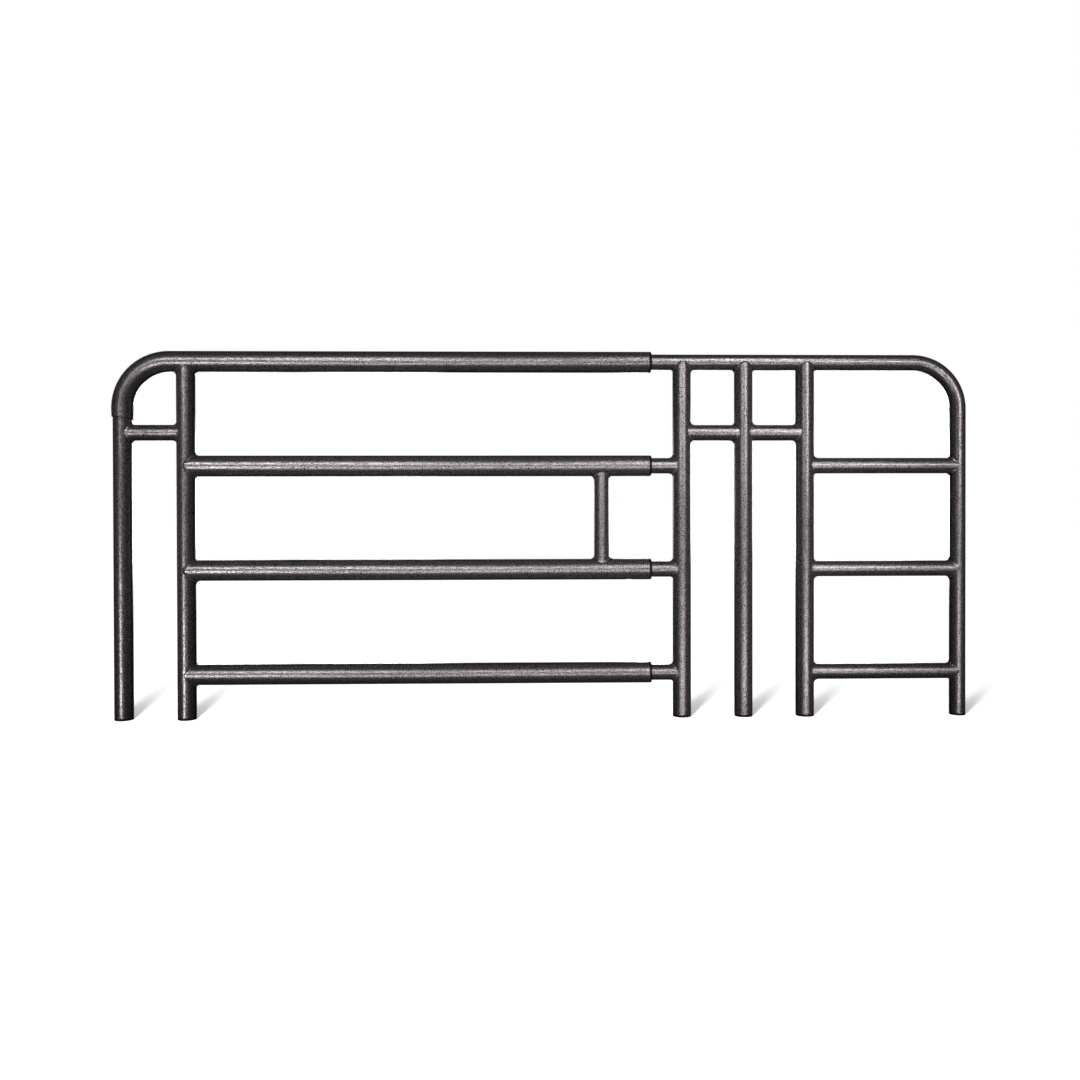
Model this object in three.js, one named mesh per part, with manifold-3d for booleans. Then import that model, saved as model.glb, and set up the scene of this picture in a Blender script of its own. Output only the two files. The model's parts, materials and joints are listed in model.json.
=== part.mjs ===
// A telescopic bed side rail in welded round tube, in millimetres.
// +X runs along the rail, from the outer section towards the inner section that slides out of it,
// +Z is up, and the origin is on the floor below the middle of the closed rail.
import * as THREE from 'three';
import { mergeVertices } from 'three/addons/utils/BufferGeometryUtils.js';
import Module from 'manifold-3d';

// Tube stock
const outerRadius = 12.7;
const postRadius = 11.1;
const innerRadius = 9.525;
const wall = 1.2;
const tubeSides = 20;
const bendSteps = 9;

// Heights of the tube centrelines above the floor
const lowRailZ = 54.5;
const railPitch = 127;
const midRailZ = lowRailZ + railPitch;
const highRailZ = midRailZ + railPitch;
const topZ = highRailZ + railPitch;
const strutZ = 349;

// Spacing of the posts along the rail
const bracketSpacing = 76.2;
const mainSpan = 605;
const rungSpan = 190.5;
const railLength = outerRadius + 3 * bracketSpacing + mainSpan + rungSpan + innerRadius;
const leftEndX = outerRadius - railLength / 2;
const leftX = leftEndX + bracketSpacing;
const innerLeftX = leftX + mainSpan;
const innerMiddleX = innerLeftX + bracketSpacing;
const innerRightX = innerMiddleX + bracketSpacing;
const rightEndX = innerRightX + rungSpan;

// Bends and welded ends
const bendRadius = 57.15;
const bendTail = 13.5;
const postPlugDepth = 12;
const saddleHorn = 1.2;
const cutGap = 0.3;

// Telescope: the outer mouths, the guide bushes in them and the glide plugs on the hidden ends
const mouthSetback = 40.5;
const mouthX = innerLeftX - mouthSetback;
const spacerSetback = 99;
const spacerX = innerLeftX - spacerSetback;
const bushLip = 2.3;
const bushLipTaper = 1.3;
const bushSpigot = 18;
const slideGap = 0.25;
const plugCollar = 8;
const plugSpigot = 15;
const plugChamfer = 1;
const closedClearance = 39;
const hiddenEndX = leftX + closedClearance + plugCollar;

// Foot plugs
const footThickness = 2;
const footChamfer = 0.8;
const footSpigot = 14;
const seatGap = 0.2;

// Snap lock: a button in the middle inner rail, which meets the lock hole at full extension
const lockTravel = 430;
const lockHoleSetback = 25.4;
const lockHoleX = mouthX - lockHoleSetback;
const buttonX = lockHoleX - lockTravel;
const lockHoleRadius = 4.1;
const lockSides = 16;
const buttonReach = 10.7;
const buttonLength = 9.7;
const buttonRadius = 3.8;
const buttonFlangeRadius = 5;
const buttonFlange = 1;
const buttonDome = 1;
const springThickness = 1;
const springWidth = 6;
const springLength = 34;
const springTopZ = 7.4;

// Finishes
const coat = { color: 0x453f3d, roughness: 0.42, metalness: 0.55 };
const nylon = { color: 0x1b1b1c, roughness: 0.6, metalness: 0 };
const steel = { color: 0xa9abad, roughness: 0.35, metalness: 1 };

const wasm = await Module();
wasm.setup();

// Turns a closed three.js geometry into a solid that can be joined and cut.
function solidOf(geometry) {
  const bare = geometry.clone();
  bare.deleteAttribute('normal');
  bare.deleteAttribute('uv');
  const merged = mergeVertices(bare, 1e-4);
  return new wasm.Manifold(
    new wasm.Mesh({
      numProp: 3,
      vertProperties: new Float32Array(merged.attributes.position.array),
      triVerts: new Uint32Array(merged.index.array),
    }),
  );
}

function geometryOf(solid) {
  const cut = solid.getMesh();
  const geometry = new THREE.BufferGeometry();
  geometry.setAttribute('position', new THREE.BufferAttribute(cut.vertProperties, 3));
  geometry.setIndex(new THREE.BufferAttribute(cut.triVerts, 1));
  geometry.computeVertexNormals();
  return geometry;
}

// Turned pieces: a profile of [radius, height] points, revolved about +Y, then laid along +X or +Z.
function turned(profile, sides = tubeSides) {
  const points = profile.map(([radius, height]) => new THREE.Vector2(radius, height));
  return new THREE.LatheGeometry(points, sides);
}

function alongX(geometry, x, y, z) {
  return geometry.rotateZ(-Math.PI / 2).translate(x, y, z);
}

function alongZ(geometry, x, y, z) {
  return geometry.rotateX(Math.PI / 2).translate(x, y, z);
}

function pipe(radius, length) {
  const bore = radius - wall;
  return turned([[bore, 0], [radius, 0], [radius, length], [bore, length], [bore, 0]]);
}

function rod(radius, length, sides = tubeSides) {
  return new THREE.CylinderGeometry(radius, radius, length, sides).translate(0, length / 2, 0);
}

function pipeX(radius, fromX, toX, z) {
  return solidOf(alongX(pipe(radius, toX - fromX), fromX, 0, z));
}

function pipeZ(radius, fromZ, toZ, x) {
  return solidOf(alongZ(pipe(radius, toZ - fromZ), x, 0, fromZ));
}

// The space a neighbouring tube takes, with the gap that a coped end keeps to it.
function spaceX(radius, z) {
  return solidOf(alongX(rod(radius + cutGap, railLength), -railLength / 2, 0, z));
}

function spaceZ(radius, x) {
  return solidOf(alongZ(rod(radius + cutGap, topZ + postRadius), x, 0, 0));
}

// Centreline of a tube with one right-angle bend: along X to the bend, then straight down.
// Its sections are spaced by station, so that the straight stretches take one step each.
class BentCentreline extends THREE.Curve {
  constructor(startX, cornerX, bottomZ) {
    super();
    this.startX = startX;
    this.side = Math.sign(cornerX - startX);
    this.bendX = cornerX - this.side * bendRadius;
    this.bottomZ = bottomZ;
    this.stations = bendSteps + 2;
  }

  turn(t) {
    const station = t * this.stations - 1;
    return (THREE.MathUtils.clamp(station / bendSteps, 0, 1) * Math.PI) / 2;
  }

  getPoint(t) {
    const angle = this.turn(t);
    const x = this.bendX + this.side * bendRadius * Math.sin(angle);
    const z = topZ - bendRadius * (1 - Math.cos(angle));
    const lead = THREE.MathUtils.clamp(1 - t * this.stations, 0, 1);
    const tail = THREE.MathUtils.clamp((t - 1) * this.stations + 1, 0, 1);
    const leadX = THREE.MathUtils.lerp(x, this.startX, lead);
    return new THREE.Vector3(leadX, 0, THREE.MathUtils.lerp(z, this.bottomZ, tail));
  }

  getTangent(t) {
    const angle = this.turn(t);
    return new THREE.Vector3(this.side * Math.cos(angle), 0, -Math.sin(angle));
  }

  getPointAt(t) {
    return this.getPoint(t);
  }

  getTangentAt(t) {
    return this.getTangent(t);
  }
}

function ring(radius) {
  const corner = (_, i) => {
    const angle = (2 * Math.PI * i) / tubeSides;
    return new THREE.Vector2(radius * Math.cos(angle), radius * Math.sin(angle));
  };
  return Array.from({ length: tubeSides }, corner);
}

function bentPipe(radius, startX, cornerX, bottomZ) {
  const section = new THREE.Shape(ring(radius));
  section.holes.push(new THREE.Path(ring(radius - wall)));
  const path = new BentCentreline(startX, cornerX, bottomZ);
  const geometry = new THREE.ExtrudeGeometry(section, { steps: path.stations, extrudePath: path });
  return solidOf(geometry);
}

const model = new THREE.Group();

function add(name, solid, finish) {
  const piece = new THREE.Mesh(geometryOf(solid), new THREE.MeshStandardMaterial(finish));
  piece.name = name;
  model.add(piece);
}

const railHeights = { upper: highRailZ, middle: midRailZ, lower: lowRailZ };
const slideHeights = { top: topZ, ...railHeights };
const tubeFootZ = footThickness + seatGap;

// Outer section
function addOuterTubes() {
  const sleeveZ = topZ - bendRadius - bendTail;
  add('outer_top_tube', bentPipe(outerRadius, mouthX, leftEndX, sleeveZ), coat);
  add('left_end_post', pipeZ(postRadius, tubeFootZ, sleeveZ + postPlugDepth, leftEndX), coat);
  const leftPost = pipeZ(postRadius, tubeFootZ, topZ, leftX);
  add('left_post', leftPost.subtract(spaceX(outerRadius, topZ)), coat);
  for (const [level, z] of Object.entries(railHeights)) {
    const rail = pipeX(outerRadius, leftX - saddleHorn, mouthX, z);
    const coped = rail.subtract(spaceZ(postRadius, leftX));
    add(`outer_rail_${level}`, level === 'middle' ? withLockHole(coped) : coped, coat);
  }
}

function withLockHole(rail) {
  const drill = rod(lockHoleRadius, outerRadius, lockSides);
  return rail.subtract(solidOf(alongZ(drill, lockHoleX, 0, midRailZ - outerRadius - wall)));
}

function addRailSpacer() {
  const spacer = pipeZ(innerRadius, midRailZ, highRailZ, spacerX);
  const coped = spacer.subtract(spaceX(outerRadius, midRailZ));
  add('rail_spacer', coped.subtract(spaceX(outerRadius, highRailZ)), coat);
}

// Tubes that run between two upright posts, coped at both ends
function addStrut(name, fromX, fromRadius, toX, toRadius, z) {
  const strut = pipeX(innerRadius, fromX, toX, z);
  const coped = strut.subtract(spaceZ(fromRadius, fromX));
  add(name, coped.subtract(spaceZ(toRadius, toX)), coat);
}

function guideBush() {
  const bore = innerRadius + slideGap;
  const spigot = outerRadius - wall - slideGap;
  const lipStart = bushSpigot + seatGap;
  const lipEnd = lipStart + bushLip;
  return turned([
    [bore, 0],
    [spigot, 0],
    [spigot, lipStart],
    [outerRadius, lipStart],
    [outerRadius, lipEnd - bushLipTaper],
    [outerRadius - bushLipTaper, lipEnd],
    [bore, lipEnd],
    [bore, 0],
  ]);
}

function glidePlug() {
  const collar = outerRadius - wall - slideGap;
  const spigot = innerRadius - wall - slideGap;
  const seat = plugCollar - seatGap;
  return turned([
    [0, 0],
    [collar - plugChamfer, 0],
    [collar, plugChamfer],
    [collar, seat],
    [spigot, seat],
    [spigot, plugCollar + plugSpigot],
    [0, plugCollar + plugSpigot],
  ]);
}

function addTelescopeFittings() {
  for (const [level, z] of Object.entries(slideHeights)) {
    add(`${level}_guide_bush`, solidOf(alongX(guideBush(), mouthX - bushSpigot, 0, z)), nylon);
    add(`${level}_glide_plug`, solidOf(alongX(glidePlug(), hiddenEndX - plugCollar, 0, z)), nylon);
  }
}

function footPlug(radius) {
  const spigot = radius - wall - slideGap;
  return turned([
    [0, 0],
    [radius - footChamfer, 0],
    [radius, footChamfer],
    [radius, footThickness],
    [spigot, footThickness],
    [spigot, footThickness + footSpigot],
    [0, footThickness + footSpigot],
  ]);
}

function addFootPlugs() {
  const legs = {
    left_end: [leftEndX, postRadius],
    left: [leftX, postRadius],
    inner_left: [innerLeftX, postRadius],
    inner_middle: [innerMiddleX, postRadius],
    inner_right: [innerRightX, postRadius],
    right_end: [rightEndX, innerRadius],
  };
  for (const [leg, [x, radius]] of Object.entries(legs)) {
    add(`${leg}_foot_plug`, solidOf(alongZ(footPlug(radius), x, 0, 0)), nylon);
  }
}

// Inner section
function addInnerTubes() {
  add('inner_top_tube', bentPipe(innerRadius, hiddenEndX, rightEndX, tubeFootZ), coat);
  for (const [level, z] of Object.entries(railHeights)) {
    const rail = pipeX(innerRadius, hiddenEndX, innerLeftX, z);
    const coped = rail.subtract(spaceZ(postRadius, innerLeftX));
    add(`inner_rail_${level}`, level === 'middle' ? withButtonHole(coped) : coped, coat);
    addStrut(`end_rung_${level}`, innerRightX, postRadius, rightEndX, innerRadius, z);
  }
}

function addInnerPosts() {
  const posts = { left: innerLeftX, middle: innerMiddleX, right: innerRightX };
  for (const [side, x] of Object.entries(posts)) {
    const post = pipeZ(postRadius, tubeFootZ, topZ + saddleHorn, x);
    add(`inner_${side}_post`, post.subtract(spaceX(innerRadius, topZ)), coat);
  }
}

function withButtonHole(rail) {
  const drill = rod(lockHoleRadius, innerRadius, lockSides);
  return rail.subtract(solidOf(alongZ(drill, buttonX, 0, midRailZ - innerRadius - wall)));
}

// The button points down. At rest the outer rail holds it in, just clear of the rail's inside.
function addSnapButton() {
  const shank = buttonLength - buttonFlange;
  const profile = [
    [0, 0],
    [buttonRadius - buttonDome, 0],
    [buttonRadius, buttonDome],
    [buttonRadius, shank],
    [buttonFlangeRadius, shank],
    [buttonFlangeRadius, buttonLength],
    [0, buttonLength],
  ];
  const button = alongZ(turned(profile, lockSides), buttonX, 0, midRailZ - buttonReach);
  add('snap_button', solidOf(button), steel);
}

// A strip folded into a V lying on its side: one leg along the top of the bore, one on the button.
function addSnapSpring() {
  const legZ = buttonLength - buttonReach + cutGap;
  const t = springThickness;
  const corners = [
    [buttonFlangeRadius, legZ],
    [buttonFlangeRadius, legZ + t],
    [-buttonFlangeRadius, legZ + t],
    [2 * t - springLength, springTopZ - 2 * t],
    [2 * t - springLength, springTopZ - t],
    [buttonFlangeRadius, springTopZ - t],
    [buttonFlangeRadius, springTopZ],
    [t - springLength, springTopZ],
    [-springLength, springTopZ - t],
    [-springLength, springTopZ - 3 * t],
    [-buttonFlangeRadius, legZ],
  ];
  const outline = new THREE.Shape(corners.map(([x, z]) => new THREE.Vector2(x, z)));
  const strip = new THREE.ExtrudeGeometry(outline, { depth: springWidth, bevelEnabled: false });
  strip.rotateX(Math.PI / 2).translate(buttonX, springWidth / 2, midRailZ);
  add('snap_spring', solidOf(strip), steel);
}

addOuterTubes();
addRailSpacer();
addStrut('left_strut', leftEndX, postRadius, leftX, postRadius, strutZ);
addInnerTubes();
addInnerPosts();
addStrut('inner_strut_left', innerLeftX, postRadius, innerMiddleX, postRadius, strutZ);
addStrut('inner_strut_right', innerMiddleX, postRadius, innerRightX, postRadius, strutZ);
addTelescopeFittings();
addFootPlugs();
addSnapButton();
addSnapSpring();

export default model;
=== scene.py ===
"""Looks of the telescopic bed side rail: smooth welded tubes in a brown vein powder coat, nylon
bushes and plugs, and a snap lock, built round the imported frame. Metres, +Z up."""
import json
import math

import bpy
from mathutils import Euler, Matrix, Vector, noise

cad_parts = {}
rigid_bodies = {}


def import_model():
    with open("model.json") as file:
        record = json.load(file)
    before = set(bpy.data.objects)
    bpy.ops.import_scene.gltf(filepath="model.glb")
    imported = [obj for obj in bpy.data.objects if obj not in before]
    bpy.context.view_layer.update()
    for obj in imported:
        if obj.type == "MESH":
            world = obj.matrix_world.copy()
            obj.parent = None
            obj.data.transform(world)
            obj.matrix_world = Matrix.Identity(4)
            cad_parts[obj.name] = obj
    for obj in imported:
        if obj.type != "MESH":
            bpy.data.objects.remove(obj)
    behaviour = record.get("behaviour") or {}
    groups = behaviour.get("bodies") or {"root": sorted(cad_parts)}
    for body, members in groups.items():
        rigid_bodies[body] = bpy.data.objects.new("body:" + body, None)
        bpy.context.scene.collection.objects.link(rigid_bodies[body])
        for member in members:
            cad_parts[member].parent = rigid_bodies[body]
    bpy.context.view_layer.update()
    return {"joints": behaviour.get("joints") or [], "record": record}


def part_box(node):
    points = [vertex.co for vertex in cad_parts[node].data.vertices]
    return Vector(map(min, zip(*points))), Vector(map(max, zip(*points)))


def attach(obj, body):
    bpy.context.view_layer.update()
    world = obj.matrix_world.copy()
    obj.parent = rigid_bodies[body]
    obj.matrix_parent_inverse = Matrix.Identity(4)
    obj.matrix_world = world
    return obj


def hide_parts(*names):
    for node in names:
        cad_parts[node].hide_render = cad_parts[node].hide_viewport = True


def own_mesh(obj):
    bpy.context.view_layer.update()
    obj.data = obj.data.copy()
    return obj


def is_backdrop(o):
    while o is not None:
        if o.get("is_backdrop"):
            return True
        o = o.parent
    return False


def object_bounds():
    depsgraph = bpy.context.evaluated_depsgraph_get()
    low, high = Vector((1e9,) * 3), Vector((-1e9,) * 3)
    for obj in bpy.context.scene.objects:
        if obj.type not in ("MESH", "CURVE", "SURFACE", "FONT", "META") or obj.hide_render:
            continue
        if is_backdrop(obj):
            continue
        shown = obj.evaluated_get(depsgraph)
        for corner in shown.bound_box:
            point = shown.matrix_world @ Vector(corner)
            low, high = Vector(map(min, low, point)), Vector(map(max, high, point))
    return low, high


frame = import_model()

# The part's own sizes. Lengths are in metres.
TUBE_WALL = 0.0012
AROUND = 96            # faces round a tube
BEND_RADIUS = 0.05715  # of both top tubes, to the centreline
BEND_STEPS = 40        # rings along a right-angle bend
RIM = 0.0003           # chamfer on a cut tube end
SHADE = 0.0011         # how far the painted shade of a gap reaches along a cut end
EMBED = 0.0002         # how far a welded end reaches into the tube it meets
WELD_LEG = 0.0048      # width of a weld fillet in the corner between two tubes
WELD_FLANK = 0.3       # the same on the flanks, as a share of it
WELD_RINGS = 7
WELD_RIPPLES = 19      # round a joint
RIPPLE = 0.00016
RIPPLE_SLANT = 2.5     # how far a ripple turns across the weld, in radians
WELD_FADE = 1.6        # where the weld's crevice ends on the tube, in widths of the weld
MEAN_WIDTH = 0.85      # of a weld, as a share of WELD_LEG
SWELL = 1.1            # how much its width changes round a joint, and how fast
SWELL_PACE = 1.3
RAGGED = 0.12          # the same for its ragged edge
RAGGED_PACE = 6
WIDTH_LIMITS = (0.35, 1.25)
SEED_STEP = 0.37       # turns a piece's name into its own pattern of welds

# Painted shade on each ring of an end, from the bore out, for how deep it lies in a crevice: for
# a weld and a cut end.
CREVICE_SHADE = [1.0, 1.0, 0.95, 0.75, 0.35]
CUT_END_SHADE = [1.0, 1.0, 1.0, 1.0, 0.0]
SHARP_ANGLE = math.radians(32)  # edges over this stay crisp

ARCH_TIP = 0.0006      # where a wide tube's end stops short of the middle of a narrower one
ARCH_NOSE = 0.0025     # half the width of that end's blunt nose
SLEEVE_SLANT = -8      # of the bent sleeve's cut end, in degrees

TIP = 0.0001           # radius of the small face that ends a solid turned piece
SLIDE_GAP = 0.00025
BUSH_LIP = 0.0023
BUSH_TAPER = 0.0013
FOOT_HEAD = 0.002
FOOT_ROUND = 0.0008
GLIDE_COLLAR = 0.0078
LOCK_HOLE_RADIUS = 0.0041
BUTTON_SHOULDER = 0.0012
BUTTON_FLANGE = 0.001
BUTTON_ROUND = 0.0012
SPRING_THICKNESS = 0.001
SPRING_SEAT = 0.01     # length of the lower leg that lies flat on the button
SPRING_FOLD = 0.3      # radius of its fold, as a share of its height
FOLD_TURN = (250, 90)  # where its fold starts and ends, in degrees
FOLD_STEPS = 10

# Textures, in features to a metre, and the depth of the powder coat's wrinkles in metres.
DRIFT = 9.0            # slow change of the coat from place to place
GRAIN = 620.0
VEINS = 430.0
WRINKLE_DEPTH = 0.0002
NYLON_GRAIN = 1500.0
SCUFFS = 140.0
HAZE = 260.0
DRAWN_LINES = (40.0, 2200.0, 900.0)

# The studio, in metres, degrees and watts.
LENS_MM = 31.67
SENSOR_MM = 36.0
CAMERA_SIDE = -0.0307
CAMERA_DISTANCE = 1.166
CAMERA_HEIGHT = 0.2263
CAMERA_DOWN = 0.43
CAMERA_RIGHT = 1.32
CAMERA_ROLL = 0.13
FLOOR_HALF = 6.0
FLOOR_ALBEDO = (0.2, 0.06)   # at the feet, and behind them
FLOOR_DARK = (0.58, 0.08)    # how dark the floor is there in full shadow
SHADOW_LENGTH = 0.26
SHADOW_END = (0.33, 0.8)     # where the shadows start to fade out, and where they are gone
BESIDE = 0.1                 # shares that the part's length is shrunk to, for those distances
AWAY = 0.6
WORLD_FILL = 0.004
SOFTBOX_DISTANCE = 1.25
SOFTBOX_SIZE = 0.32
SOFTBOX_BEAM = 44      # whole angle
AIM_MIDDLE = 0.224     # heights that a softbox is aimed at
AIM_OVER = 0.6
SHADOW_LAMP_PLACE = (-0.3, -1.2, 0.8)
SHADOW_LAMP_SIZE = 0.16
SHADOW_WATTS = 78

X = Vector((1, 0, 0))
Y = Vector((0, 1, 0))
Z = Vector((0, 0, 1))

BODY_OF = {node: body for body, nodes in frame["record"]["behaviour"]["bodies"].items()
           for node in nodes}
SLOT_OF = {row["node"]: row["material_slot"] for row in frame["record"]["subparts"]}


# ---------------------------------------------------------------- materials

class Shader:
    """A node tree that is written one call to a node."""

    def __init__(self, name):
        self.material = bpy.data.materials.new(name)
        self.material.use_nodes = True
        self.tree = self.material.node_tree
        self.surface = self.tree.nodes["Principled BSDF"]

    def node(self, kind, inputs=None, **settings):
        made = self.tree.nodes.new(kind)
        for key, value in settings.items():
            setattr(made, key, value)
        for key, value in (inputs or {}).items():
            self.put(made.inputs[key], value)
        return made

    def put(self, socket, value):
        if isinstance(value, bpy.types.NodeSocket):
            self.tree.links.new(value, socket)
        else:
            socket.default_value = value

    def set(self, **values):
        for key, value in values.items():
            self.put(self.surface.inputs[key.replace("_", " ")], value)

    def place(self):
        return self.node("ShaderNodeTexCoord").outputs["Object"]

    def noise(self, place, scale, detail=3.0, roughness=0.5, distortion=0.0):
        made = self.node("ShaderNodeTexNoise", {
            "Vector": place, "Scale": scale, "Detail": detail,
            "Roughness": roughness, "Distortion": distortion})
        return made.outputs["Fac"]

    def remap(self, value, low, high, to_low=0.0, to_high=1.0):
        made = self.node("ShaderNodeMapRange", {
            "Value": value, "From Min": low, "From Max": high,
            "To Min": to_low, "To Max": to_high}, interpolation_type="SMOOTHSTEP")
        return made.outputs["Result"]

    def math(self, operation, a, b=0.0):
        made = self.node("ShaderNodeMath", operation=operation)
        self.put(made.inputs[0], a)
        self.put(made.inputs[1], b)
        return made.outputs["Value"]

    def mix(self, factor, a, b):
        made = self.node("ShaderNodeMix", data_type="RGBA")
        self.put(made.inputs["Factor"], factor)
        self.put(made.inputs[6], a)
        self.put(made.inputs[7], b)
        return made.outputs[2]

    def bump(self, height, depth, strength, normal=None):
        made = self.node("ShaderNodeBump", {
            "Height": height, "Distance": depth, "Strength": strength})
        if normal is not None:
            self.put(made.inputs["Normal"], normal)
        return made.outputs["Normal"]


def vein_coat():
    """Semi-gloss powder coat: silver-grey veins over brown-black, wrinkled as fine as sand, with
    painted shade where a ring lies in a weld's crease or in a gap.
    """
    s = Shader("brown_vein_coat")
    place = s.place()
    drift = s.noise(place, DRIFT, 2.0)
    grain = s.noise(place, GRAIN, 3.0, 0.62, 0.8)
    vein = s.node("ShaderNodeTexVoronoi", {"Vector": place, "Scale": VEINS, "Randomness": 1.0},
                  feature="DISTANCE_TO_EDGE").outputs["Distance"]
    ridge = s.remap(vein, 0.02, 0.32, 1.0, 0.0)
    height = s.math("ADD", s.math("MULTIPLY", grain, 0.75), s.math("MULTIPLY", ridge, 0.25))
    crease_shade = s.node("ShaderNodeAttribute", attribute_name="crease_shade").outputs["Fac"]
    silver = s.remap(s.math("ADD", height, s.math("MULTIPLY", drift, 0.12)), 0.38, 0.72)
    # Painted shade: the silver is taken out of rings that lie in a crease or a gap, so they read
    # dark.
    silver = s.math("MULTIPLY", silver, s.remap(crease_shade, 0.0, 1.0, 1.0, 0.0))
    brown = (0.011, 0.009, 0.0089, 1.0)
    grey = (0.33, 0.295, 0.302, 1.0)
    s.set(Base_Color=s.mix(silver, brown, grey),
          Metallic=s.remap(silver, 0.0, 1.0, 0.25, 0.9),
          Specular_IOR_Level=0.45,
          Roughness=s.math("ADD", s.remap(silver, 0.0, 1.0, 0.36, 0.3),
                           s.math("MULTIPLY", crease_shade, 0.5)),
          Normal=s.bump(height, WRINKLE_DEPTH, 0.42))
    return s.material


def black_nylon():
    """Moulded nylon with a fine matt grain and a little paler scuffing."""
    s = Shader("black_nylon")
    place = s.place()
    grain = s.noise(place, NYLON_GRAIN, 2.0)
    scuff = s.remap(s.noise(place, SCUFFS, 4.0, 0.6), 0.55, 0.75)
    s.set(Base_Color=s.mix(scuff, (0.011, 0.011, 0.0115, 1.0), (0.03, 0.03, 0.031, 1.0)),
          Specular_IOR_Level=0.2,
          Roughness=s.remap(grain, 0.3, 0.7, 0.5, 0.65),
          Normal=s.bump(grain, 0.0001, 0.3))
    return s.material


def bright_steel():
    """Zinc-plated spring steel with drawn lines and a mottled haze."""
    s = Shader("bright_steel")
    place = s.place()
    haze = s.noise(place, HAZE, 4.0, 0.6)
    drawn = s.node("ShaderNodeMapping", {"Vector": place, "Scale": DRAWN_LINES}).outputs["Vector"]
    lines = s.noise(drawn, 1.0, 2.0)
    s.set(Base_Color=s.mix(haze, (0.5, 0.51, 0.52, 1.0), (0.72, 0.72, 0.71, 1.0)),
          Metallic=1.0,
          Roughness=s.remap(haze, 0.3, 0.7, 0.26, 0.42),
          Normal=s.bump(lines, 0.00005, 0.25))
    return s.material


MATERIALS = {"brown_vein_coat": vein_coat(), "black_nylon": black_nylon(),
             "bright_steel": bright_steel()}


# ---------------------------------------------------------------- meshes

def circle(centre, across, deep, radius):
    """A ring of points: angle 0 lies along across, a quarter turn along deep."""
    turns = [2 * math.pi * i / AROUND for i in range(AROUND)]
    return [centre + radius * (math.cos(a) * across + math.sin(a) * deep) for a in turns]


def loft(rings, closed):
    """Vertices and faces through rings of points. Closed joins the last ring to the first,
    and otherwise each end ring is capped."""
    count = len(rings[0])
    points = [p for ring in rings for p in ring]
    faces = []
    for k in range(len(rings) if closed else len(rings) - 1):
        a, b = k * count, (k + 1) % len(rings) * count
        faces += [(a + i, a + (i + 1) % count, b + (i + 1) % count, b + i) for i in range(count)]
    if not closed:
        last = (len(rings) - 1) * count
        faces.append(tuple(reversed(range(count))))
        faces.append(tuple(last + i for i in range(count)))
    return points, faces


def make_piece(node, rings, closed=True, crease_shades=None):
    """The piece that stands for a CAD node, facing out, in that node's material. The last
    argument gives each ring a painted shade, for how deep it lies in the crevice of a weld or in
    a gap."""
    mesh = bpy.data.meshes.new(f"{node}_skin")
    points, faces = loft(rings, closed)
    mesh.from_pydata([tuple(p) for p in points], [], faces)
    mesh.update()
    if signed_volume(mesh) < 0:
        mesh.flip_normals()
    mesh.polygons.foreach_set("use_smooth", [True] * len(mesh.polygons))
    mesh.set_sharp_from_angle(angle=SHARP_ANGLE)
    crease_shade_layer = mesh.attributes.new("crease_shade", "FLOAT", "POINT")
    if crease_shades is not None:
        crease_shade_layer.data.foreach_set("value", [crease_shade for crease_shade in crease_shades for _ in range(AROUND)])
    piece = bpy.data.objects.new(f"{node}_skin", mesh)
    bpy.context.scene.collection.objects.link(piece)
    mesh.materials.append(MATERIALS[SLOT_OF[node]])
    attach(piece, BODY_OF[node])
    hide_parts(node)
    return piece


def signed_volume(mesh):
    mesh.calc_loop_triangles()
    at = [v.co for v in mesh.vertices]
    return sum(at[a].dot(at[b].cross(at[c])) for a, b, c in
               (t.vertices for t in mesh.loop_triangles))


# ---------------------------------------------------------------- tubes

def radius_of(node):
    """Half the depth of a round CAD piece."""
    low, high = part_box(node)
    return (high.y - low.y) / 2


class Tube:
    """Where a straight CAD tube lies: along X or Z, its centreline, its radius and its ends."""

    def __init__(self, node, along):
        low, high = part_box(node)
        self.node = node
        self.along = along
        self.across = Z if along == X else X
        self.radius = radius_of(node)
        middle = (low + high) / 2
        self.base = Vector((0, 0, middle.z)) if along == X else Vector((middle.x, 0, 0))
        self.start = low.dot(along)
        self.end = high.dot(along)

    def at(self, distance):
        return self.base + self.along * distance


def cope(angle, radius, main_radius):
    """Distance from the main tube's axis to where a branch's wall meets it, at that angle
    round the branch. A branch that is wider ends in a blunt arch on the main tube's face."""
    reach = math.sqrt(max(0.0, main_radius ** 2 - (radius * math.sin(angle)) ** 2))
    if radius <= main_radius + EMBED:
        return reach
    beside_nose = max(0.0, abs(radius * math.cos(angle)) - ARCH_NOSE)
    return min(main_radius, max(reach, ARCH_TIP + beside_nose))


def cut_end(tube, where, inward):
    """Rings of a square-cut end, from the bore to the outside. Inward is +1 at a tube's start."""
    bore = tube.radius - TUBE_WALL
    steps = [(bore, RIM), (bore + RIM, 0), (tube.radius - RIM, 0), (tube.radius, RIM),
             (tube.radius, SHADE)]
    # Each ring also gets painted shade for the gap at the cut.
    return [circle(tube.at(where + inward * step), tube.across, Y, radius)
            for radius, step in steps], CUT_END_SHADE


def weld_leg(angle, seed):
    """Width of the weld at that angle: uneven from joint to joint, and slight on the flanks."""
    round_it = Vector((math.cos(angle), math.sin(angle), 0))
    swell = noise.noise(SWELL_PACE * round_it + seed * Z)
    ragged = noise.noise(RAGGED_PACE * round_it + (seed + 9) * Z)
    low, high = WIDTH_LIMITS
    share = min(high, max(low, MEAN_WIDTH + SWELL * swell)) + RAGGED * ragged
    return WELD_LEG * share * (1 - (1 - WELD_FLANK) * math.sin(angle) ** 2)


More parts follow.
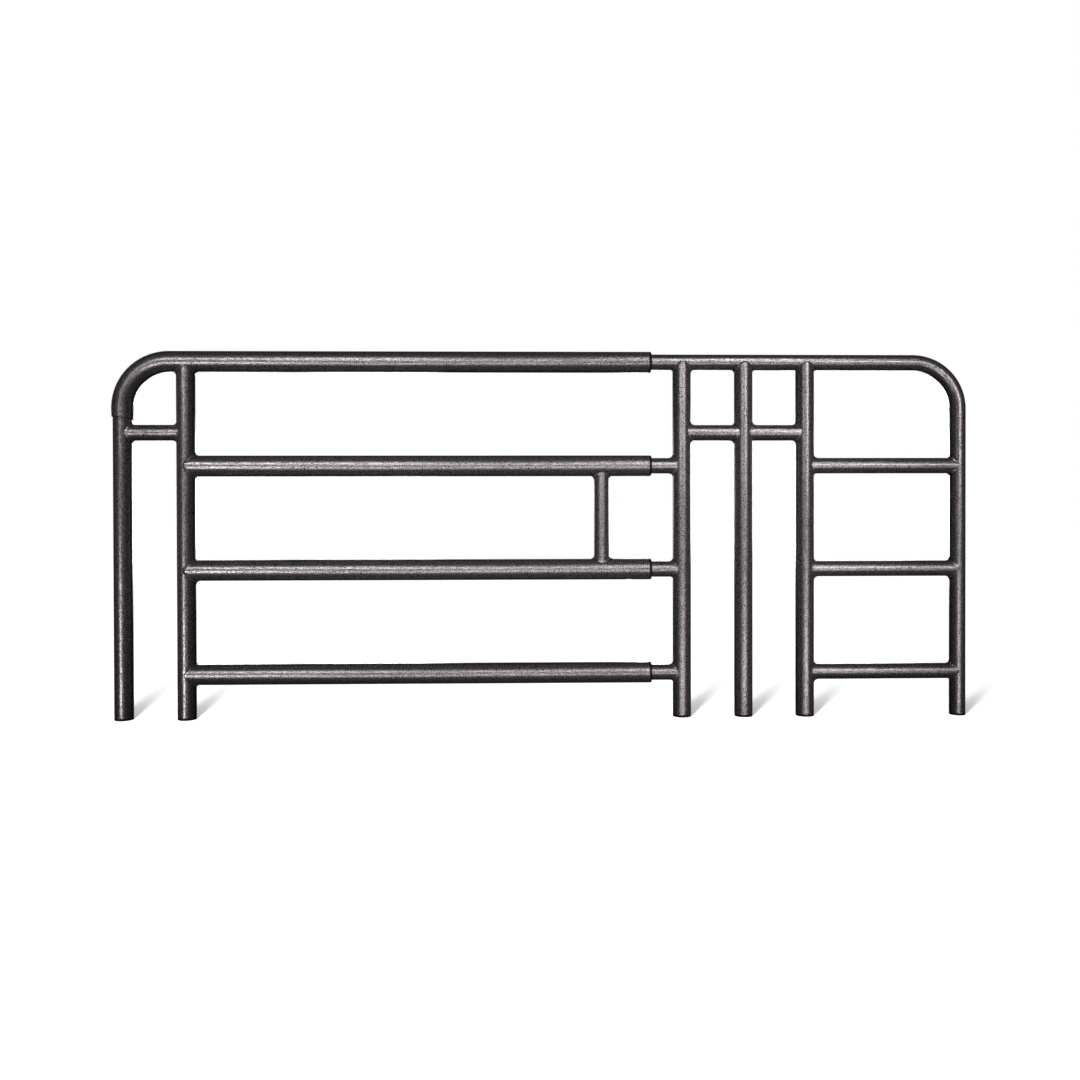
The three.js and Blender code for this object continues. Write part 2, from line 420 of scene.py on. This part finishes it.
def welded_end(tube, main, inward, seed):
    """Rings of a coped end, from the bore out through a rippled weld to the tube's own wall."""
    where = main.base.dot(tube.along)
    bore = tube.radius - TUBE_WALL
    rings = [[] for _ in range(WELD_RINGS + 2)]

    def spot(across, deep, reach):
        return tube.at(where + inward * reach) + tube.across * across + Y * deep

    for i in range(AROUND):
        angle = 2 * math.pi * i / AROUND
        cosine, sine = math.cos(angle), math.sin(angle)
        rings[0].append(spot(bore * cosine, bore * sine,
                             cope(angle, bore, main.radius) - EMBED))
        leg = weld_leg(angle, seed)
        reach = cope(angle, tube.radius, main.radius)
        toe_angle = math.acos(reach / main.radius) + abs(sine) * leg / main.radius
        toe_depth = math.copysign((main.radius - EMBED) * math.sin(toe_angle), sine)
        toe = spot((tube.radius + leg) * cosine, toe_depth,
                   (main.radius - EMBED) * math.cos(toe_angle))
        corner = spot(tube.radius * cosine, tube.radius * sine, reach)
        top = spot(tube.radius * cosine, tube.radius * sine, reach + leg)
        proud = ((toe + top) / 2 - corner).normalized() * RIPPLE
        for k in range(WELD_RINGS):
            t = k / (WELD_RINGS - 1)
            ripple = 1 + math.sin(WELD_RIPPLES * angle + RIPPLE_SLANT * t + seed)
            rings[k + 1].append((1 - t) ** 2 * toe + 2 * t * (1 - t) * corner + t ** 2 * top
                                + proud * ripple * math.sin(math.pi * t))
        rings[WELD_RINGS + 1].append(spot(tube.radius * cosine, tube.radius * sine,
                                          reach + WELD_FADE * leg))
    # Painted shade for the weld's crease, deepest at the bore and the toe.
    return rings, CREVICE_SHADE + [0.0] * (len(rings) - len(CREVICE_SHADE))


def straight_tube(tube, start, end, stations=()):
    """A tube between two ends. Each end is None for a square cut, or the main tube it is
    welded to. Stations are where it takes extra rings."""
    seed = sum(map(ord, tube.node)) * SEED_STEP
    first, crease_shades = welded_end(tube, start, 1, seed) if start else cut_end(tube, tube.start, 1)
    last, end_crease_shades = welded_end(tube, end, -1, seed + 5) if end else cut_end(tube, tube.end, -1)
    outside = [circle(tube.at(x), tube.across, Y, tube.radius) for x in stations]
    inside = [circle(tube.at(x), tube.across, Y, tube.radius - TUBE_WALL) for x in stations]
    plain = [0.0] * len(stations)
    return make_piece(tube.node, first + outside + last[::-1] + inside[::-1],
                      crease_shades=crease_shades + plain + end_crease_shades[::-1] + plain)


def bent_tube(node, mouth_x, corner_x, foot_z, slant=0.0):
    """A tube that runs along X from its mouth, then turns down through a right angle. Slant is
    how far its lower end is from a square cut, in degrees."""
    radius = radius_of(node)
    top_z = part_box(node)[1].z - radius
    side = math.copysign(1, corner_x - mouth_x)
    bend_x = corner_x - side * BEND_RADIUS
    stations = [(mouth_x, top_z, 0.0)]
    for k in range(BEND_STEPS + 1):
        turn = k / BEND_STEPS * math.pi / 2
        stations.append((bend_x + side * BEND_RADIUS * math.sin(turn),
                         top_z - BEND_RADIUS * (1 - math.cos(turn)), turn))
    slope = math.radians(slant)
    stations.append((corner_x, foot_z + radius * abs(math.sin(slope)), math.pi / 2 + slope))

    def ring(station, size, ahead=0.0):
        x, z, turn = station
        forward = Vector((side * math.cos(turn), 0, -math.sin(turn)))
        outward = Vector((side * math.sin(turn), 0, math.cos(turn)))
        return circle(Vector((x, 0, z)) + forward * ahead, outward, Y, size)

    bore = radius - TUBE_WALL
    mouth, foot = stations[0], stations[-1]
    outside = [ring(mouth, bore, RIM), ring(mouth, bore + RIM), ring(mouth, radius - RIM),
               ring(mouth, radius, RIM), ring(mouth, radius, SHADE)]
    outside += [ring(s, radius) for s in stations[1:-1]]
    outside += [ring(foot, radius, -SHADE), ring(foot, radius, -RIM), ring(foot, radius - RIM),
                ring(foot, bore + RIM), ring(foot, bore, -RIM)]
    inside = [ring(s, bore) for s in reversed(stations[1:-1])]
    plain = [0.0] * (len(stations) - 2)
    # Both cut ends get the painted shade of a gap.
    return make_piece(node, outside + inside,
                      crease_shades=CUT_END_SHADE + plain + CUT_END_SHADE[::-1] + plain)


def all_tubes():
    """Every tube, with its welds. The posts come first, because the rails are coped to them."""
    posts = {n: Tube(n, Z) for n in ("left_end_post", "left_post", "inner_left_post",
                                     "inner_middle_post", "inner_right_post")}
    outer_rails = {n: Tube(n, X) for n in ("outer_rail_upper", "outer_rail_middle",
                                           "outer_rail_lower")}
    top = {}
    for node in ("outer_top_tube", "inner_top_tube"):
        top[node] = Tube(node, X)
        low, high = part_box(node)
        top[node].base = Vector((0, 0, high.z - top[node].radius))
    right_end = Tube("inner_top_tube", Z)
    right_end.base = Vector((right_end_x(), 0, 0))

    straight_tube(posts["left_end_post"], None, None)
    straight_tube(posts["left_post"], None, top["outer_top_tube"])
    for node in ("inner_left_post", "inner_middle_post", "inner_right_post"):
        straight_tube(posts[node], None, top["inner_top_tube"])

    low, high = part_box("outer_top_tube")
    bent_tube("outer_top_tube", high.x, low.x + top["outer_top_tube"].radius, low.z,
              SLEEVE_SLANT)
    low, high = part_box("inner_top_tube")
    bent_tube("inner_top_tube", low.x, right_end_x(), low.z)

    for level in ("upper", "middle", "lower"):
        outer, inner = outer_rails[f"outer_rail_{level}"], Tube(f"inner_rail_{level}", X)
        holes = drill_places() if level == "middle" else (None, None)
        skin = straight_tube(outer, posts["left_post"], None,
                             stations_beside(holes[0]))
        drill(skin, outer, holes[0])
        skin = straight_tube(inner, None, posts["inner_left_post"],
                             stations_beside(holes[1]))
        drill(skin, inner, holes[1])
        straight_tube(Tube(f"end_rung_{level}", X), posts["inner_right_post"], right_end)

    straight_tube(Tube("rail_spacer", Z), outer_rails["outer_rail_middle"],
                  outer_rails["outer_rail_upper"])
    straight_tube(Tube("left_strut", X), posts["left_end_post"], posts["left_post"])
    straight_tube(Tube("inner_strut_left", X), posts["inner_left_post"],
                  posts["inner_middle_post"])
    straight_tube(Tube("inner_strut_right", X), posts["inner_middle_post"],
                  posts["inner_right_post"])


def right_end_x():
    low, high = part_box("right_end_foot_plug")
    return (low.x + high.x) / 2


def drill_places():
    """Where the lock hole and the button's hole are. They meet at the end of the slide."""
    low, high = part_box("snap_button")
    button_x = (low.x + high.x) / 2
    return button_x + travel_of("telescope"), button_x


def travel_of(joint):
    """How far a slide goes from rest to its upper end."""
    return next(j for j in frame["joints"] if j["name"] == joint)["range_m"][1]


def stations_beside(hole_x):
    """Stations that frame a hole, so that the faces round it are short."""
    if hole_x is None:
        return ()
    return [hole_x + side * LOCK_HOLE_RADIUS for side in (-3, -1.5, 1.5, 3)]


def drill(skin, tube, x):
    """A round hole up through the underside of a rail, made in the mesh itself."""
    if x is None:
        return
    base = Vector((x, 0, tube.base.z - tube.radius - 2 * TUBE_WALL))
    rings = [circle(base, X, Y, LOCK_HOLE_RADIUS),
             circle(base + Z * tube.radius, X, Y, LOCK_HOLE_RADIUS)]
    points, faces = loft(rings, False)
    bit = bpy.data.meshes.new("bit")
    bit.from_pydata([tuple(p) for p in points], [], faces)
    if signed_volume(bit) < 0:
        bit.flip_normals()
    cutter = bpy.data.objects.new("bit", bit)
    bpy.context.scene.collection.objects.link(cutter)
    hole = skin.modifiers.new("hole", "BOOLEAN")
    hole.object = cutter
    hole.operation = "DIFFERENCE"
    hole.solver = "EXACT"
    bpy.context.view_layer.update()
    drilled = bpy.data.meshes.new_from_object(
        skin.evaluated_get(bpy.context.evaluated_depsgraph_get()))
    skin.modifiers.clear()
    skin.data = drilled
    drilled.set_sharp_from_angle(angle=SHARP_ANGLE)
    bpy.data.objects.remove(cutter)


# ---------------------------------------------------------------- turned pieces

def turned(node, along, profile):
    """A turned piece: profile is [distance along, radius] pairs from one end to the other, or
    all round a section where it has a bore."""
    low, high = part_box(node)
    middle = (low + high) / 2
    base = middle - along * middle.dot(along)
    across = Z if along == X else X
    rings = [circle(base + along * distance, across, Y, radius) for distance, radius in profile]
    bored = min(radius for _, radius in profile) > EMBED
    return make_piece(node, rings, closed=bored)


def arc(centre, radius, start, end, steps=5):
    """Profile points along an arc. Angles are in degrees, 0 along the axis."""
    turns = [math.radians(start + (end - start) * k / steps) for k in range(steps + 1)]
    return [(centre[0] + radius * math.cos(a), centre[1] + radius * math.sin(a))
            for a in turns]


def guide_bushes():
    """A nylon ring in each mouth: a spigot inside the tube and a lip that tapers at its end."""
    spigot = radius_of("top_glide_plug")
    bore = radius_of("inner_top_tube") + SLIDE_GAP
    for level in ("top", "upper", "middle", "lower"):
        node = f"{level}_guide_bush"
        low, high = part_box(node)
        lip = radius_of(node)
        seat = high.x - BUSH_LIP
        turned(node, X, [
            (low.x, bore + RIM), (low.x, spigot - RIM), (low.x + RIM, spigot), (seat, spigot),
            (seat, lip - RIM), (seat + RIM, lip),
            *arc((high.x - BUSH_TAPER, lip - BUSH_TAPER), BUSH_TAPER, 90, 15),
            (high.x, bore + 2 * RIM), (high.x - 2 * RIM, bore), (low.x + RIM, bore)])


def foot_plugs():
    """A black plug in each leg: a head as wide as the tube, rounded where it meets the floor."""
    for node in (n for n in SLOT_OF if n.endswith("_foot_plug")):
        low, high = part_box(node)
        head = (high.x - low.x) / 2
        spigot = head - TUBE_WALL - SLIDE_GAP
        turned(node, Z, [
            (low.z, TIP), *arc((low.z + FOOT_ROUND, head - FOOT_ROUND), FOOT_ROUND, 180, 90),
            (low.z + FOOT_HEAD, head), (low.z + FOOT_HEAD, spigot),
            (high.z - 2 * RIM, spigot), (high.z, spigot - 2 * RIM), (high.z, TIP)])


def glide_plugs():
    """A nylon collar and plug on the hidden end of each inner tube."""
    for level in ("top", "upper", "middle", "lower"):
        node = f"{level}_glide_plug"
        low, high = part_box(node)
        collar = radius_of(node)
        spigot = radius_of("inner_top_tube") - TUBE_WALL - SLIDE_GAP
        turned(node, X, [
            (low.x, TIP), *arc((low.x + 3 * RIM, collar - 3 * RIM), 3 * RIM, 180, 90),
            (low.x + GLIDE_COLLAR, collar), (low.x + GLIDE_COLLAR, spigot),
            (high.x - 2 * RIM, spigot), (high.x, spigot - 2 * RIM), (high.x, TIP)])


def snap_lock():
    """The button's domed tip, shank and flange, and the bent strip behind it."""
    low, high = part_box("snap_button")
    flange = (high.x - low.x) / 2
    shank = flange - BUTTON_SHOULDER
    turned("snap_button", Z, [
        (low.z, TIP), *arc((low.z + BUTTON_ROUND, shank - BUTTON_ROUND), BUTTON_ROUND, 180, 90),
        (high.z - BUTTON_FLANGE, shank), (high.z - BUTTON_FLANGE, flange - RIM),
        (high.z - BUTTON_FLANGE + RIM, flange), (high.z - RIM, flange),
        (high.z, flange - RIM), (high.z, TIP)])
    spring_strip()


def spring_strip():
    """A V on its side: the lower leg lies on the button and the upper one along the bore. Its
    shape is fixed; it does not close as the button is pressed."""
    low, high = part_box("snap_spring")
    half = SPRING_THICKNESS / 2
    fold = (high.z - low.z) * SPRING_FOLD
    lower = [(high.x - half, low.z + half), (high.x - SPRING_SEAT, low.z + half)]
    start, end = FOLD_TURN
    turns = [math.radians(start + (end - start) * k / FOLD_STEPS) for k in range(FOLD_STEPS + 1)]
    bend = [(low.x + fold + fold * math.cos(a), high.z - fold + (fold - half) * math.sin(a))
            for a in turns]
    line = lower + bend + [(high.x - half, high.z - half)]
    rings = []
    for k, (x, z) in enumerate(line):
        before, after = line[max(k - 1, 0)], line[min(k + 1, len(line) - 1)]
        forward = Vector((after[0] - before[0], 0, after[1] - before[1])).normalized()
        side = forward.cross(Y)
        rings.append([Vector((x, 0, z)) + side * a * half + Y * b * (high.y - low.y) / 2
                      for a, b in ((1, 1), (1, -1), (-1, -1), (-1, 1))])
    spring = make_piece("snap_spring", rings, closed=False)
    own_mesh(spring)


# ---------------------------------------------------------------- studio

def shrunk_length(shader, width):
    """Distance from the middle of the floor, with the part's length shrunk to that share."""
    spread = shader.node("ShaderNodeMapping", {"Vector": shader.place(), "Scale": (width, 1, 1)})
    return shader.node("ShaderNodeVectorMath", {0: spread.outputs["Vector"]},
                       operation="LENGTH").outputs["Value"]


def floor():
    """A pale floor that only the camera sees. It glows a little, and more with distance, so that
    it is white but for the soft shadows round the feet."""
    low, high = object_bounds()
    corners = [(-1, -1), (1, -1), (1, 1), (-1, 1)]
    mesh = bpy.data.meshes.new("floor")
    mesh.from_pydata([(FLOOR_HALF * x, FLOOR_HALF * y, low[2]) for x, y in corners], [],
                     [(0, 1, 2, 3)])
    plane = bpy.data.objects.new("floor", mesh)
    bpy.context.scene.collection.objects.link(plane)
    plane.visible_shadow = plane.visible_diffuse = plane.visible_glossy = False
    s = Shader("pale_floor")
    beside = shrunk_length(s, BESIDE)
    away = shrunk_length(s, AWAY)
    dark = s.math("MULTIPLY", s.remap(beside, 0.0, SHADOW_LENGTH, *FLOOR_DARK),
                  s.remap(away, *SHADOW_END, 1.0, 0.0))
    s.set(Base_Color=s.remap(beside, 0.0, SHADOW_LENGTH, *FLOOR_ALBEDO),
          Specular_IOR_Level=0.0, Roughness=1.0, Emission_Color=(1, 1, 1, 1),
          Emission_Strength=s.math("SUBTRACT", 1.0, dark))
    mesh.materials.append(s.material)
    plane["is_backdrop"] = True
    return plane


def backdrop():
    """White where the camera looks past the floor, and dim in what it lights."""
    world = bpy.data.worlds.new("studio")
    bpy.context.scene.world = world
    world.use_nodes = True
    nodes, links = world.node_tree.nodes, world.node_tree.links
    seen = nodes["Background"]
    seen.inputs["Color"].default_value = (1, 1, 1, 1)
    felt = nodes.new("ShaderNodeBackground")
    felt.inputs["Color"].default_value = (0.9, 0.93, 1, 1)
    felt.inputs["Strength"].default_value = WORLD_FILL
    mix = nodes.new("ShaderNodeMixShader")
    links.new(nodes.new("ShaderNodeLightPath").outputs["Is Camera Ray"], mix.inputs[0])
    links.new(felt.outputs[0], mix.inputs[1])
    links.new(seen.outputs[0], mix.inputs[2])
    links.new(mix.outputs[0], nodes["World Output"].inputs["Surface"])


def softbox(name, x, z, aim_x, watts, side=-1, aim_z=AIM_MIDDLE):
    """A small soft lamp in front of the part, or behind it where side is +1, whose narrow beam
    is aimed at aim_x along it and at the height aim_z."""
    low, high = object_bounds()
    data = bpy.data.lights.new(name, "AREA")
    data.size = SOFTBOX_SIZE
    data.energy = watts
    data.spread = math.radians(SOFTBOX_BEAM)
    lamp = bpy.data.objects.new(name, data)
    lamp.location = (x, side * SOFTBOX_DISTANCE, low[2] + z)
    beam = Vector((aim_x, 0, low[2] + aim_z)) - lamp.location
    lamp.rotation_euler = beam.to_track_quat("-Z", "Y").to_euler()
    bpy.context.scene.collection.objects.link(lamp)


def lights():
    """Each lamp lays one streak on the tubes. Its height sets where the streak lies on the rails,
    and its x where it lies on the posts."""
    softbox("top_left", -0.4, 1.05, -0.45, 0.32, aim_z=AIM_OVER)
    softbox("high_far_left", -0.8, 0.82, -0.45, 0.23)
    softbox("high_left", -0.4, 0.6, 0.0, 0.18)
    softbox("high_middle", 0.0, 0.6, 0.0, 0.115)
    softbox("over_right", 0.6, 1.35, 0.36, 0.4, aim_z=AIM_OVER)
    softbox("high_right", 0.4, 0.82, 0.0, 0.165)
    softbox("high_far_right", 0.8, 0.6, 0.42, 0.3)
    softbox("low_far_left", -0.8, -0.12, -0.45, 0.295)
    softbox("low_left", -0.4, -0.35, 0.0, 0.15)
    softbox("low_middle", 0.0, -0.12, 0.0, 0.13)
    softbox("low_right", 0.4, -0.12, 0.42, 0.165)
    softbox("low_far_right", 0.8, -0.12, 0.42, 0.087)
    softbox("beyond_right", 1.3, 0.5, 1.05, 0.3)
    softbox("back_far_left", -0.8, 0.35, -0.35, 0.35, 1)
    softbox("back_left", -0.4, 0.3, -0.4, 0.5, 1)
    softbox("back_right", 0.4, 0.3, 0.4, 0.5, 1)
    softbox("back_far_right", 0.8, 0.35, 0.35, 0.35, 1)
    softbox("back_beyond_right", 1.3, 0.35, 1.05, 0.5, 1)


def shadow_lamp(plane):
    """Lights the floor alone and evenly, so that the posts lay soft shadows behind their feet."""
    data = bpy.data.lights.new("shadow_lamp", "AREA")
    data.size = SHADOW_LAMP_SIZE
    data.energy = SHADOW_WATTS
    data.use_nodes = True
    even = data.node_tree.nodes.new("ShaderNodeLightFalloff")
    even.inputs["Strength"].default_value = 1.0
    data.node_tree.links.new(even.outputs["Constant"],
                             data.node_tree.nodes["Emission"].inputs["Strength"])
    lamp = bpy.data.objects.new("shadow_lamp", data)
    lamp.location = SHADOW_LAMP_PLACE
    lamp.rotation_euler = (-lamp.location).to_track_quat("-Z", "Y").to_euler()
    bpy.context.scene.collection.objects.link(lamp)
    lit = bpy.data.collections.new("lit_by_shadow_lamp")
    lit.objects.link(plane)
    lamp.light_linking.receiver_collection = lit
    blocking = bpy.data.collections.new("blocks_shadow_lamp")
    for piece in bpy.data.objects:
        if piece.name.endswith(("post_skin", "foot_plug_skin")):
            blocking.objects.link(piece)
    blocking.objects.link(bpy.data.objects["inner_top_tube_skin"])
    lamp.light_linking.blocker_collection = blocking


def camera():
    """Level with the middle of the rail, and turned and tipped by about a degree."""
    low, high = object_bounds()
    data = bpy.data.cameras.new("camera")
    data.lens = LENS_MM
    data.sensor_width = SENSOR_MM
    view = bpy.data.objects.new("camera", data)
    view.location = (CAMERA_SIDE, -CAMERA_DISTANCE, low[2] + CAMERA_HEIGHT)
    view.rotation_euler = Euler((math.radians(90 - CAMERA_DOWN), math.radians(CAMERA_ROLL),
                                 math.radians(-CAMERA_RIGHT)), "XYZ")
    bpy.context.scene.collection.objects.link(view)
    bpy.context.scene.camera = view
    bpy.context.scene.view_settings.view_transform = "Standard"


camera()
all_tubes()
guide_bushes()
foot_plugs()
glide_plugs()
snap_lock()
shadow_lamp(floor())
backdrop()
lights()
